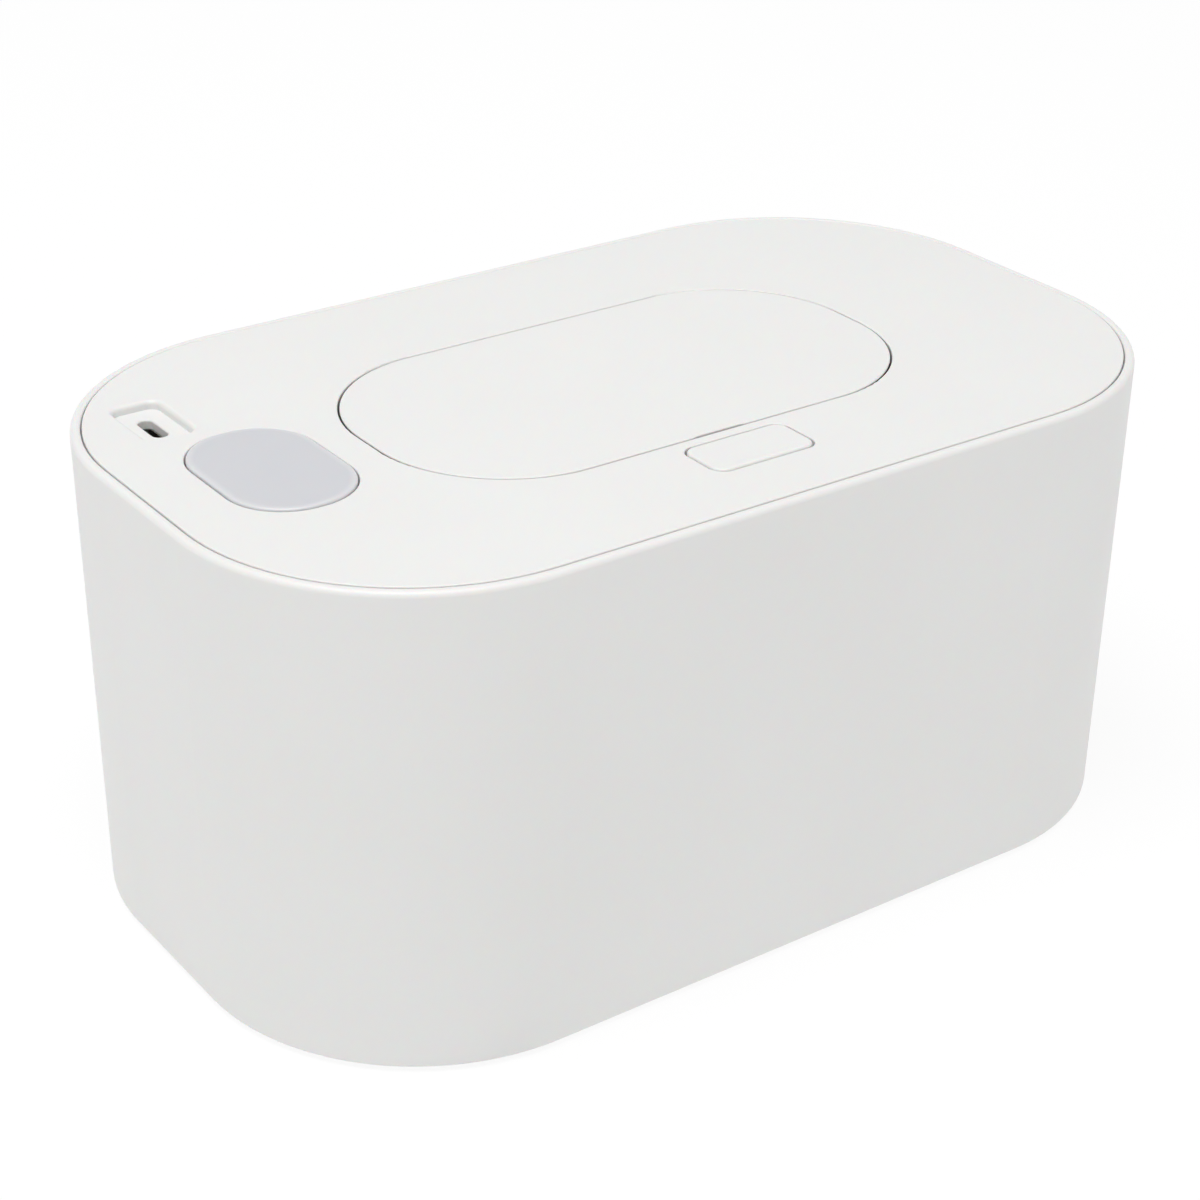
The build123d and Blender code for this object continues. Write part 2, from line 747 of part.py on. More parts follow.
with BuildPart() as control_chip:
    with BuildSketch(level(board_under_z)):
        with Locations((board_centre[0], key_centre_y)):
            Rectangle(chip_size, chip_size)
    extrude(amount=-chip_height)
    chamfer(flat_edges(control_chip, board_under_z - chip_height), chip_chamfer)

with BuildPart() as capacitors:
    with BuildSketch(level(board_under_z)):
        with Locations(socket_centre):
            with GridLocations(capacitor_spacing, 0, 2, 1):
                Circle(capacitor_radius)
    extrude(amount=-capacitor_height)
    fillet(flat_edges(capacitors, board_under_z - capacitor_height), capacitor_round)

with BuildPart() as power_coil:
    with BuildSketch(level(board_under_z)):
        with Locations((board_left + coil_inset, board_centre_y + coil_offset)):
            RectangleRounded(coil_size, coil_size, coil_corner)
    extrude(amount=-coil_height)

with BuildPart() as board_plugs:
    with BuildSketch(level(board_under_z)):
        with Locations(*plugs_at):
            Rectangle(plug_width, plug_length)
    extrude(amount=-plug_height)
    chamfer(flat_edges(board_plugs, board_under_z - plug_height), plug_chamfer)

with BuildPart() as socket_shell:
    with BuildSketch(level(board_z)):
        with Locations(socket_centre):
            SlotOverall(shell_length, shell_width, rotation=90)
    extrude(amount=shell_z - board_z)
    with BuildSketch(level(board_z)):
        with Locations(socket_centre):
            SlotOverall(shell_length - 2 * shell_wall, shell_width - 2 * shell_wall, rotation=90)
    extrude(amount=shell_z - board_z, mode=Mode.SUBTRACT)

with BuildPart() as socket_tongue:
    with BuildSketch(level(board_z)):
        with Locations(socket_centre):
            SlotOverall(
                shell_length - 2 * shell_wall - 2 * tongue_fit,
                shell_width - 2 * shell_wall - 2 * tongue_fit,
                rotation=90,
            )
    extrude(amount=tongue_base)
    with BuildSketch(level(board_z)):
        with Locations(socket_centre):
            Rectangle(tongue_thickness, tongue_length)
    extrude(amount=shell_z - tongue_setback - board_z)
    fillet(flat_edges(socket_tongue, shell_z - tongue_setback), tongue_round)

with BuildPart() as led_display:
    with BuildSketch(level(board_z)):
        with Locations(key_centre):
            Rectangle(display_width, display_length)
    extrude(amount=display_z - board_z)

with BuildPart() as tact_switches:
    with BuildSketch(level(board_z)):
        with Locations(*switches_at):
            Rectangle(switch_size, switch_size)
    extrude(amount=switch_height)
    chamfer(flat_edges(tact_switches, switch_z), switch_chamfer)
    with BuildSketch(level(switch_z)):
        with Locations(*switches_at):
            Circle(plunger_radius + plunger_gap)
    extrude(amount=-(plunger_sunk + key_travel + plunger_room), mode=Mode.SUBTRACT)

# ---------------------------------------------------------------- display key
with BuildPart() as key_lens:
    with BuildSketch(level(lens_under_z)):
        with Locations(key_centre):
            RectangleRounded(*key_outline(0))
    extrude(amount=lens_thickness)
    fillet(flat_edges(key_lens, cover_z + key_proud), key_edge_round)

with BuildPart() as key_carrier:
    with BuildSketch(level(flange_under_z)):
        with Locations(key_centre):
            RectangleRounded(*key_outline(0))
    extrude(amount=lens_under_z - flange_under_z)
    with BuildSketch(level(flange_under_z)):
        with Locations(key_centre):
            RectangleRounded(*key_outline(key_gap + flange_reach))
    extrude(amount=flange_thickness)
    with BuildSketch(level(flange_under_z)):
        with Locations(key_centre):
            Rectangle(display_width + 2 * display_gap, display_length + 2 * display_gap)
    extrude(amount=lens_under_z - flange_under_z, mode=Mode.SUBTRACT)
    with BuildSketch(level(plunger_z)):
        with Locations(*switches_at):
            Circle(post_radius)
    extrude(amount=flange_under_z - plunger_z)

with BuildPart() as switch_plungers:
    with BuildSketch(level(switch_z - plunger_sunk)):
        with Locations(*switches_at):
            Circle(plunger_radius)
    extrude(amount=plunger_proud + plunger_sunk)

# ---------------------------------------------------------------- flip lid
with BuildPart() as lid_shell:
    with BuildSketch(level(skin_under_z)):
        with Locations(lid_centre):
            RectangleRounded(*lid_outline(0))
    extrude(amount=lid_skin)
    chamfer(flat_edges(lid_shell, skin_under_z), lid_skin - lid_edge)
    # Rib round the underside
    with BuildSketch(level(skin_under_z)):
        with Locations(lid_centre):
            RectangleRounded(*lid_outline(-lid_rib_inset))
            RectangleRounded(*lid_outline(-lid_rib_inset - lid_rib_width), mode=Mode.SUBTRACT)
    extrude(amount=-lid_rib_height)
    # Thumb notch in the front edge
    with BuildSketch(level(cover_z)):
        with BuildLine(Location((button_x, lid_front_y))):
            Polyline(
                (-notch_width / 2, 0),
                (-notch_width / 2 + notch_ramp, notch_depth),
                (notch_width / 2 - notch_ramp, notch_depth),
                (notch_width / 2, 0),
                (notch_width / 2, -notch_depth),
                (-notch_width / 2, -notch_depth),
                close=True,
            )
        make_face()
    extrude(amount=-lid_skin, mode=Mode.SUBTRACT)
    fillet(flat_edges(lid_shell, cover_z), lid_edge_round)
    # Catch, whose nose the latch's hook holds down
    with BuildSketch(across(button_x)):
        with BuildLine():
            Polyline(
                (catch_y + catch_thickness, skin_under_z),
                (catch_y, skin_under_z),
                (catch_y, nose_z),
                (nose_y, nose_z),
                (nose_y, nose_z - nose_lip),
                (catch_y, nose_z - nose_height),
                (catch_y + catch_thickness, nose_z - nose_height),
                close=True,
            )
        make_face()
    extrude(amount=catch_width / 2, both=True)
    # Swan-neck arms, each with an eye for its pin and a peg for its spring
    for side, arm_x in arms_at:
        with BuildSketch(across(arm_x, hinge_y, hinge_z)):
            with BuildLine():
                Line((-arm_radius, skin_under_z - hinge_z), (-arm_radius, 0))
                CenterArc((0, 0), arm_radius, 180, 90)
                Line((0, -arm_radius), (0, 0))
            trace(line_width=arm_thickness)
            Circle(eye_radius)
            Circle(pin_radius + pin_running, mode=Mode.SUBTRACT)
        extrude(amount=arm_width / 2, both=True)
        peg_plane = across(arm_x - side * arm_width / 2, hinge_y, hinge_z)
        with BuildSketch(peg_plane):
            with Locations((spring_peg_y, spring_peg_z)):
                Circle(spring_peg_radius)
        extrude(amount=-side * (arm_gap + lid_spring_length))

with BuildPart() as lid_liner:
    with BuildSketch(level(liner_z)):
        with Locations(aperture_centre):
            SlotOverall(*aperture_outline(liner_margin))
    extrude(amount=liner_height)
    fillet(flat_edges(lid_liner, liner_z), liner_wall / 2)
    with BuildSketch(level(liner_z + liner_wall)):
        with Locations(aperture_centre):
            SlotOverall(*aperture_outline(liner_margin - liner_wall))
    extrude(amount=liner_height - liner_wall, mode=Mode.SUBTRACT)
    with BuildSketch(level(liner_z)):
        with Locations(aperture_centre):
            SlotOverall(*aperture_outline((collar_wall + seal_width) / 2 + seal_fit))
            SlotOverall(*aperture_outline((collar_wall - seal_width) / 2 - seal_fit), mode=Mode.SUBTRACT)
    extrude(amount=seal_sunk, mode=Mode.SUBTRACT)

with BuildPart() as lid_seal:
    with BuildSketch(level(collar_z)):
        with Locations(aperture_centre):
            SlotOverall(*aperture_outline((collar_wall + seal_width) / 2))
            SlotOverall(*aperture_outline((collar_wall - seal_width) / 2), mode=Mode.SUBTRACT)
    extrude(amount=liner_z + seal_sunk - collar_z)
    chamfer(flat_edges(lid_seal, collar_z), seal_chamfer)

with BuildPart() as hinge_pins:
    for side, arm_x in arms_at:
        with BuildSketch(across(arm_x - side * hinge_box_shift, hinge_y, hinge_z)):
            Circle(pin_radius)
        extrude(amount=hinge_room / 2 + well_wall + pin_overhang, both=True)

with BuildPart() as lid_springs:
    for side, arm_x in arms_at:
        # The coil runs from the box's far wall to the arm
        far_x = arm_x - side * (arm_width / 2 + arm_gap + lid_spring_length)
        coil_x = far_x + side * (lid_wire + lid_rear_leg * lid_coil_slope)
        with Locations(Plane(origin=(coil_x, hinge_y, hinge_z), x_dir=(0, 1, 0), z_dir=(side, 0, 0))):
            add(
                wire_spring(
                    lid_wire,
                    lid_coil_radius,
                    lid_coil_pitch,
                    lid_coil_turns,
                    legs=(lid_rear_leg, lid_front_leg),
                    lefthand=side < 0,
                )
            )

# ---------------------------------------------------------------- release button and latch
with BuildPart() as latch_button:
    with BuildSketch(level(button_under_z)):
        with Locations(button_centre):
            RectangleRounded(*button_outline(0))
    extrude(amount=button_skin)
    fillet(flat_edges(latch_button, cover_z + button_proud), button_edge_round)
    with BuildSketch(level(wing_under_z)):
        with Locations(button_centre):
            RectangleRounded(*button_outline(0))
            RectangleRounded(*button_outline(-button_skirt), mode=Mode.SUBTRACT)
    extrude(amount=button_under_z - wing_under_z)
    # Wings that keep it under the cover plate
    with BuildSketch(level(wing_under_z)):
        with Locations(button_centre):
            Rectangle(button_length + 2 * (button_gap + wing_reach), wing_length)
            Rectangle(button_length - button_skirt, wing_length, mode=Mode.SUBTRACT)
    extrude(amount=wing_thickness)
    # Wedge that drives the slider
    wedge_top_y = wedge_y - wedge_tip - wedge_ratio * (button_under_z - wedge_tip_z)
    with BuildSketch(across(button_x)):
        with BuildLine():
            Polyline(
                (wedge_y, button_under_z),
                (wedge_top_y, button_under_z),
                (wedge_y - wedge_tip, wedge_tip_z),
                (wedge_y, wedge_tip_z),
                close=True,
            )
        make_face()
    extrude(amount=wedge_width / 2, both=True)

with BuildPart() as latch_slider:
    with BuildSketch(level(slider_under_z)):
        with Locations((button_x, (slider_body_y + shoulder_y) / 2)):
            Rectangle(slider_width, shoulder_y - slider_body_y)
        with Locations((button_x, (slider_body_y + hook_y) / 2)):
            Rectangle(hook_width, hook_y - slider_body_y)
        with Locations((button_x, (slider_front_y + slider_body_y) / 2)):
            Rectangle(pad_width, slider_body_y - slider_front_y)
    extrude(amount=slider_thickness)
    chamfer(latch_slider.edges().filter_by(Axis.X).group_by(Axis.Y)[-1].sort_by(Axis.Z)[-1], hook_bevel)
    # Slot with a ramp that runs along the button's wedge
    ramp_shift = wedge_gap * hypot(1, wedge_ratio)
    slot_rear_y = wedge_y + slider_travel + slider_gap
    ramp = [
        (wedge_y - wedge_tip - ramp_shift - wedge_ratio * (z - wedge_tip_z), z)
        for z in (slider_z + overrun, slider_under_z - overrun)
    ]
    with BuildSketch(across(button_x)):
        with BuildLine():
            Polyline(ramp[0], ramp[1], (slot_rear_y, ramp[1][1]), (slot_rear_y, ramp[0][1]), close=True)
        make_face()
    extrude(amount=wedge_width / 2 + wedge_side_gap, both=True, mode=Mode.SUBTRACT)
    # Pad for the spring
    with BuildSketch(Plane.XZ.offset(-pad_front_y)):
        with Locations((button_x, slider_middle_z)):
            Rectangle(pad_width, pad_height)
    extrude(amount=-pad_thickness)

with BuildPart() as latch_carrier:
    rear_y = well_front_y - well_wall - carrier_gap
    carrier_under_z = carrier_z - carrier_plate
    pad_drop = pad_height / 2 - slider_thickness / 2 + slider_gap
    carrier_width = latch_boss_spacing + 2 * small_boss_radius
    side_x = slider_width / 2 + slider_gap + carrier_wall / 2
    wedge_rear_y = wedge_y + wedge_side_gap
    wedge_front_y = wedge_y - wedge_tip - wedge_ratio * (carrier_z - wedge_pressed_z) - wedge_side_gap
    # Plate under the slider, with ears on the two bosses and a hole for the tip of the pressed wedge
    with BuildSketch(level(carrier_under_z)):
        with Locations((button_x, (slider_front_y + rear_y) / 2)):
            Rectangle(slider_width + 2 * (slider_gap + carrier_wall), rear_y - slider_front_y)
        with Locations((button_x, button_y)):
            SlotOverall(carrier_width, 2 * small_boss_radius)
        with Locations(*latch_bosses_at):
            Circle(small_screw_radius + screw_hole_gap, mode=Mode.SUBTRACT)
        with Locations((button_x, (wedge_front_y + wedge_rear_y) / 2)):
            Rectangle(wedge_width + 2 * wedge_side_gap, wedge_rear_y - wedge_front_y, mode=Mode.SUBTRACT)
    extrude(amount=carrier_plate)
    # Side walls that guide it
    with BuildSketch(level(carrier_z)):
        with Locations((button_x, (slider_front_y + rear_y) / 2)):
            with GridLocations(2 * side_x, 0, 2, 1):
                Rectangle(carrier_wall, rear_y - slider_front_y)
    extrude(amount=slider_z - carrier_z)
    # Bay and seat for the spring
    bay_top_z = slider_middle_z + pad_height / 2
    with BuildSketch(level(carrier_under_z - pad_drop)):
        with Locations((button_x, (seat_y - carrier_wall + slider_front_y) / 2)):
            Rectangle(pad_width + 2 * (slider_gap + carrier_wall), slider_front_y - seat_y + carrier_wall)
    extrude(amount=bay_top_z - carrier_under_z + pad_drop)
    with BuildSketch(level(carrier_z - pad_drop)):
        with Locations((button_x, (seat_y + slider_front_y) / 2)):
            Rectangle(pad_width + 2 * slider_gap, slider_front_y - seat_y)
    extrude(amount=bay_top_z - carrier_z + pad_drop, mode=Mode.SUBTRACT)

with BuildPart() as latch_screws:
    with Locations(*[(x, y, carrier_under_z) for x, y in latch_bosses_at]):
        add(pan_screw(small_screw_radius, small_screw_length, small_head_radius, small_head_height))

with BuildPart() as latch_spring:
    latch_coil_rise = latch_spring_length - 2 * latch_wire
    latch_coil_pitch = latch_coil_rise / latch_coil_turns
    with Locations(Plane(origin=(button_x, pad_front_y - latch_wire, slider_middle_z), z_dir=(0, -1, 0))):
        add(wire_spring(latch_wire, latch_coil_radius, latch_coil_pitch, latch_coil_turns))

pieces = {
    "outer_case": outer_case,
    "rubber_feet": rubber_feet,
    "top_cover": top_cover,
    "cover_gasket": cover_gasket,
    "inner_cover": inner_cover,
    "cover_screws": cover_screws,
    "heater_tray": heater_tray,
    "heating_film": heating_film,
    "insulation_foam": insulation_foam,
    "heater_screws": heater_screws,
    "thermistor": thermistor,
    "thermal_fuse": thermal_fuse,
    "heater_leads": heater_leads,
    "control_board": control_board,
    "board_screws": board_screws,
    "control_chip": control_chip,
    "capacitors": capacitors,
    "power_coil": power_coil,
    "board_plugs": board_plugs,
    "socket_shell": socket_shell,
    "socket_tongue": socket_tongue,
    "led_display": led_display,
    "tact_switches": tact_switches,
    "key_lens": key_lens,
    "key_carrier": key_carrier,
    "switch_plungers": switch_plungers,
    "lid_shell": lid_shell,
    "lid_liner": lid_liner,
    "lid_seal": lid_seal,
    "hinge_pins": hinge_pins,
    "lid_springs": lid_springs,
    "latch_button": latch_button,
    "latch_slider": latch_slider,
    "latch_carrier": latch_carrier,
    "latch_screws": latch_screws,
    "latch_spring": latch_spring,
}
os.makedirs("parts", exist_ok=True)
for name, piece in pieces.items():
    piece.part.label = name
    export_step(piece.part, f"parts/{name}.step")
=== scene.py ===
from math import cos, pi, radians, sin

import bmesh
import bpy
from mathutils import Matrix, Vector


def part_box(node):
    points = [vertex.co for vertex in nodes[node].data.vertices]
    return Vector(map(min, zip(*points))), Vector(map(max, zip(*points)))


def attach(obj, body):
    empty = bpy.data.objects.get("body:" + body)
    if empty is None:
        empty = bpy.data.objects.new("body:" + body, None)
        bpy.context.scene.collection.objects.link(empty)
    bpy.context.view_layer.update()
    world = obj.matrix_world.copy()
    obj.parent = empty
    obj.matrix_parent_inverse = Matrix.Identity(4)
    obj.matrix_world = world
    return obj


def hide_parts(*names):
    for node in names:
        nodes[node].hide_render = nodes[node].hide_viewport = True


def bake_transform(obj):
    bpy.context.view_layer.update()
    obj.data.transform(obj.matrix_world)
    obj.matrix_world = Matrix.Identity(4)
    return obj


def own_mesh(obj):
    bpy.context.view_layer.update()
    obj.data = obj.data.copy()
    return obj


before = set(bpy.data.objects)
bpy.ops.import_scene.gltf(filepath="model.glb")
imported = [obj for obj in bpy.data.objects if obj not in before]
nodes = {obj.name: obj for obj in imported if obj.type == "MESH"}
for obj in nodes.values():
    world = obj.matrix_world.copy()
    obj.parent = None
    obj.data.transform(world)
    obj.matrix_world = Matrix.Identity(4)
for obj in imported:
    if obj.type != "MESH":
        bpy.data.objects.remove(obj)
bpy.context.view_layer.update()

mm = 0.001
print("frame loaded:", len(nodes), "nodes")


def linear(hexColour):  # sRGB hex to the linear values that the shaders take
    channels = [int(hexColour[i:i + 2], 16) / 255 for i in (1, 3, 5)]
    return (*(c / 12.92 if c <= 0.04045 else ((c + 0.055) / 1.055) ** 2.4 for c in channels), 1.0)


def addNode(tree, kind, values=None, links=None, feeds=None, **settings):
    # values and links go by an input's name or number; feeds gives, by an output's, the socket it runs to
    node = tree.nodes.new(kind)
    for name, value in settings.items():
        setattr(node, name, value)
    for socket, value in (values or {}).items():
        node.inputs[socket].default_value = value
    for socket, output in (links or {}).items():
        tree.links.new(output, node.inputs[socket])
    for output, socket in (feeds or {}).items():
        tree.links.new(node.outputs[output], socket)
    return node


mixShare, mixFirst, mixSecond, mixed = 0, 6, 7, 2  # a Mix node's sockets, when it mixes colours


def newMaterial(name, shaderValues):
    # returns the shader and the place on the object too, for what the finish adds
    material = bpy.data.materials.new(name)
    material.use_nodes = True
    tree = material.node_tree
    shader = tree.nodes["Principled BSDF"]
    for socket, value in shaderValues.items():
        shader.inputs[socket].default_value = value
    place = addNode(tree, "ShaderNodeTexCoord").outputs["Object"]
    return material, tree, shader, place


def perMetre(size):  # noise scale for grains of this size in mm
    return 1 / (size * mm)


# Moulded plastics and rubbers. The tool's surface gives each its grain, and the flow of the melt gives slow
# changes of gloss and tone. grain is the grain's size and depth its height, both in mm. Grains under 0.3 mm
# are drawn at 0.3 mm so that they show at all. glow is the share of light that comes back from inside, and
# reach how deep it goes, in mm. haze is how far the roughness strays.
plastics = {
    # ABS from a spark-eroded tool: satin, reflections with soft edges
    "whiteAbs": dict(colour="#E8E8E7", shade="#E4E4E2", roughness=0.42, haze=0.04, grain=0.35, depth=0.008,
                     ior=1.53, glow=0.3, reach=0.6),
    # polypropylene, fine-ground tool: waxy and a little see-through at its edges
    "satinPolypropylene": dict(colour="#E4E4E2", shade="#DDDDDA", roughness=0.36, haze=0.06, grain=0.4,
                               depth=0.010, ior=1.49, glow=0.15, reach=1.2),
    # acetal: dense, slick, almost glossy
    "slickAcetal": dict(colour="#EDEBE3", shade="#E6E3D8", roughness=0.26, haze=0.04, grain=0.5, depth=0.006,
                        ior=1.48, glow=0.08, reach=0.8),
    # thermoplastic rubber: dead matt, picks up a little dust
    "footRubber": dict(colour="#CFCFCC", shade="#C2C2BE", roughness=0.72, haze=0.08, grain=0.45, depth=0.03,
                       ior=1.5, glow=0.0, reach=1.0),
    # silicone cured in a smooth tool: milky, soft sheen
    "milkySilicone": dict(colour="#E2E3E3", shade="#D8DADA", roughness=0.48, haze=0.06, grain=0.6,
                          depth=0.012, ior=1.41, glow=0.35, reach=2.0),
    # epoxy and phenolic moulding resin: black with a dull skin
    "blackResin": dict(colour="#1B1B1C", shade="#232324", roughness=0.5, haze=0.08, grain=0.3, depth=0.012,
                       ior=1.55, glow=0.0, reach=1.0),
    # nylon, dyed dark
    "darkNylon": dict(colour="#3B3B3D", shade="#333335", roughness=0.42, haze=0.06, grain=0.3, depth=0.008,
                      ior=1.53, glow=0.0, reach=1.0),
    # nylon in its own creamy colour
    "creamNylon": dict(colour="#E6E0CD", shade="#DED7C0", roughness=0.4, haze=0.06, grain=0.35, depth=0.01,
                       ior=1.53, glow=0.12, reach=0.8),
    # display housing: white filled resin with a milky face
    "displayWhite": dict(colour="#ECECEA", shade="#E4E4E1", roughness=0.34, haze=0.04, grain=0.3, depth=0.006,
                         ior=1.54, glow=0.1, reach=0.6),
    # silicone-sheathed wire
    "leadSheath": dict(colour="#D6D6D4", shade="#CACAC7", roughness=0.5, haze=0.05, grain=0.4, depth=0.01,
                       ior=1.41, glow=0.1, reach=0.6),
    # glazed ceramic body
    "glazedCeramic": dict(colour="#D9D2BA", shade="#CDC5AB", roughness=0.18, haze=0.05, grain=0.8, depth=0.01,
                          ior=1.5, glow=0.0, reach=1.0),
}
# flow is from one swirl of the melt to the next, in mm
melt = {"flow": 45, "flowDetail": 3.0, "grainDetail": 2.0}


def mouldedPlastic(name):
    look = plastics[name]
    material, tree, shader, place = newMaterial(name, {
        "IOR": look["ior"],
        "Subsurface Weight": look["glow"],
        "Subsurface Scale": look["reach"] * mm,
    })
    flow = addNode(tree, "ShaderNodeTexNoise",
                   {"Scale": perMetre(melt["flow"]), "Detail": melt["flowDetail"]},
                   {"Vector": place}).outputs["Fac"]
    addNode(tree, "ShaderNodeMix", {mixFirst: linear(look["colour"]), mixSecond: linear(look["shade"])},
            {mixShare: flow}, {mixed: shader.inputs["Base Color"]}, data_type="RGBA")
    addNode(tree, "ShaderNodeMapRange",
            {"To Min": look["roughness"] - look["haze"], "To Max": look["roughness"] + look["haze"]},
            {"Value": flow}, {"Result": shader.inputs["Roughness"]})
    grain = addNode(tree, "ShaderNodeTexNoise",
                    {"Scale": perMetre(look["grain"]), "Detail": melt["grainDetail"]},
                    {"Vector": place}).outputs["Fac"]
    addNode(tree, "ShaderNodeBump", {"Strength": 1.0, "Distance": look["depth"] * mm}, {"Height": grain},
            {"Normal": shader.inputs["Normal"]})
    return material


# Metals. lines is the spacing and run the length of the marks that the making left, in mm, along the axis.
metals = {
    # aluminium sheet, rolled and then pressed: long fine rolling lines, satin
    "rolledAluminium": dict(colour="#C9CACC", shade="#BBBDBF", roughness=0.34, haze=0.08, lines=0.4, run=30,
                            axis=0, depth=0.012),
    # zinc-plated steel: bluish, cloudy
    "zincSteel": dict(colour="#BFC2C6", shade="#A9ADB3", roughness=0.32, haze=0.10, lines=0.6, run=1.2,
                      axis=2, depth=0.008),
    # stainless wire and pin stock: drawn, so its lines run along it
    "drawnSteel": dict(colour="#C4C4C4", shade="#AFAFB0", roughness=0.24, haze=0.06, lines=0.3, run=4,
                       axis=0, depth=0.006),
    # nickel-plated sheet: smooth, warm
    "nickelPlate": dict(colour="#CFCCC6", shade="#BDB9B2", roughness=0.22, haze=0.06, lines=0.4, run=3,
                        axis=2, depth=0.006),
    # deep-drawn aluminium can
    "drawnCan": dict(colour="#D2D3D5", shade="#C3C5C8", roughness=0.28, haze=0.06, lines=0.3, run=5, axis=2,
                     depth=0.006),
}
markDetail = 3.0  # octaves of noise in the marks


def workedMetal(name):
    look = metals[name]
    material, tree, shader, place = newMaterial(name, {"Metallic": 1.0})
    stretch = [perMetre(look["lines"])] * 3
    stretch[look["axis"]] = perMetre(look["run"])
    along = addNode(tree, "ShaderNodeMapping", {"Scale": stretch}, {"Vector": place})
    marks = addNode(tree, "ShaderNodeTexNoise", {"Scale": 1.0, "Detail": markDetail},
                    {"Vector": along.outputs["Vector"]}).outputs["Fac"]
    addNode(tree, "ShaderNodeMix", {mixFirst: linear(look["colour"]), mixSecond: linear(look["shade"])},
            {mixShare: marks}, {mixed: shader.inputs["Base Color"]}, data_type="RGBA")
    addNode(tree, "ShaderNodeMapRange",
            {"To Min": look["roughness"] - look["haze"], "To Max": look["roughness"] + look["haze"]},
            {"Value": marks}, {"Result": shader.inputs["Roughness"]})
    addNode(tree, "ShaderNodeBump", {"Strength": 1.0, "Distance": look["depth"] * mm}, {"Height": marks},
            {"Normal": shader.inputs["Normal"]})
    return material


# Moulded polycarbonate with a frosted back: a cool grey that hides the display. Along the edge its colour
# is painted paler, a painted highlight for the rounded edge catching the light. The attribute "inward" says
# how far a point is from that edge. frost and cloud are the sizes of the frosting's grain and of its cloudy
# patches, in mm.
# edge is the colour of the painted highlight along the lens's rounded edge
frosting = {"window": "#CDCED2", "windowShade": "#CACBD0", "edge": "#D5D6D9", "roughness": 0.3, "ior": 1.58,
            "glow": 0.2, "reach": 1.0, "frost": 0.3, "frostDetail": 2.0, "frostDepth": 0.006, "cloud": 12,
            "cloudDetail": 1.0}


def frostedLens(name):
    material, tree, shader, place = newMaterial(name, {
        "IOR": frosting["ior"],
        "Roughness": frosting["roughness"],
        "Subsurface Weight": frosting["glow"],
        "Subsurface Scale": frosting["reach"] * mm,
    })
    frost = addNode(tree, "ShaderNodeTexNoise",
                    {"Scale": perMetre(frosting["frost"]), "Detail": frosting["frostDetail"]},
                    {"Vector": place})
    cloud = addNode(tree, "ShaderNodeTexNoise",
                    {"Scale": perMetre(frosting["cloud"]), "Detail": frosting["cloudDetail"]},
                    {"Vector": place})
    window = addNode(tree, "ShaderNodeMix",
                     {mixFirst: linear(frosting["window"]), mixSecond: linear(frosting["windowShade"])},
                     {mixShare: cloud.outputs["Fac"]}, data_type="RGBA")
    # painted highlight: the edge colour where the attribute is 0, the window's tone where it is 1
    paintedHighlightFade = addNode(tree, "ShaderNodeAttribute", attribute_name="paintedHighlightFade")
    addNode(tree, "ShaderNodeMix", {mixFirst: linear(frosting["edge"])},
            {mixShare: paintedHighlightFade.outputs["Fac"], mixSecond: window.outputs[mixed]},
            {mixed: shader.inputs["Base Color"]}, data_type="RGBA")
    addNode(tree, "ShaderNodeBump", {"Strength": 1.0, "Distance": frosting["frostDepth"] * mm},
            {"Height": frost.outputs["Fac"]}, {"Normal": shader.inputs["Normal"]})
    return material


# Polyimide film with an etched foil heater inside: amber, the foil's meanders show through. pitch is from one
# strip of foil to the next in mm, run a strip's length in pitches, gap the bare film's share of a pitch.
film = {"amber": "#A8641F", "foil": "#C99A55", "pitch": 5.0, "run": 12, "gap": 0.18, "gapBlur": 0.1,
        "relief": 0.03, "roughness": 0.2, "ior": 1.7, "metallic": 0.25}


def heaterFoil(name):
    material, tree, shader, place = newMaterial(name, {"Roughness": film["roughness"], "IOR": film["ior"],
                                                       "Metallic": film["metallic"]})
    pitch = film["pitch"] * mm
    rows = addNode(tree, "ShaderNodeTexBrick",
                   {"Scale": 1.0, "Mortar Size": pitch * film["gap"], "Mortar Smooth": film["gapBlur"],
                    "Brick Width": pitch * film["run"], "Row Height": pitch,
                    "Color1": linear(film["foil"]), "Color2": linear(film["foil"]),
                    "Mortar": linear(film["amber"])},
                   {"Vector": place}, {"Color": shader.inputs["Base Color"]})
    addNode(tree, "ShaderNodeBump", {"Strength": 1.0, "Distance": film["relief"] * mm},
            {"Height": rows.outputs["Fac"]}, {"Normal": shader.inputs["Normal"]})
    return material


# Closed-cell polyethylene foam, skived from a block: white, its cells cut open, with painted shade darkening
# each cell's hollow. cell and depth are in mm, wall is the share of a cell that its wall takes.
foam = {"colour": "#EFEFED", "cellPaintedShade": "#D9D9D6", "cell": 0.9, "wall": 0.25, "depth": 0.15,
        "roughness": 0.8, "glow": 0.2, "reach": 1.5}


def cutFoam(name):
    material, tree, shader, place = newMaterial(name, {"Roughness": foam["roughness"],
                                                       "Subsurface Weight": foam["glow"],
                                                       "Subsurface Scale": foam["reach"] * mm})
    cells = addNode(tree, "ShaderNodeTexVoronoi", {"Scale": perMetre(foam["cell"])}, {"Vector": place},
                    feature="DISTANCE_TO_EDGE")
    walls = addNode(tree, "ShaderNodeMapRange", {"From Max": foam["wall"]},
                    {"Value": cells.outputs["Distance"]}).outputs["Result"]
    # painted shade: the colour darkens from each cell's wall into its hollow
    addNode(tree, "ShaderNodeMix", {mixFirst: linear(foam["colour"]), mixSecond: linear(foam["cellPaintedShade"])},
            {mixShare: walls}, {mixed: shader.inputs["Base Color"]}, data_type="RGBA")
    addNode(tree, "ShaderNodeBump", {"Strength": 1.0, "Distance": -foam["depth"] * mm}, {"Height": walls},
            {"Normal": shader.inputs["Normal"]})
    return material


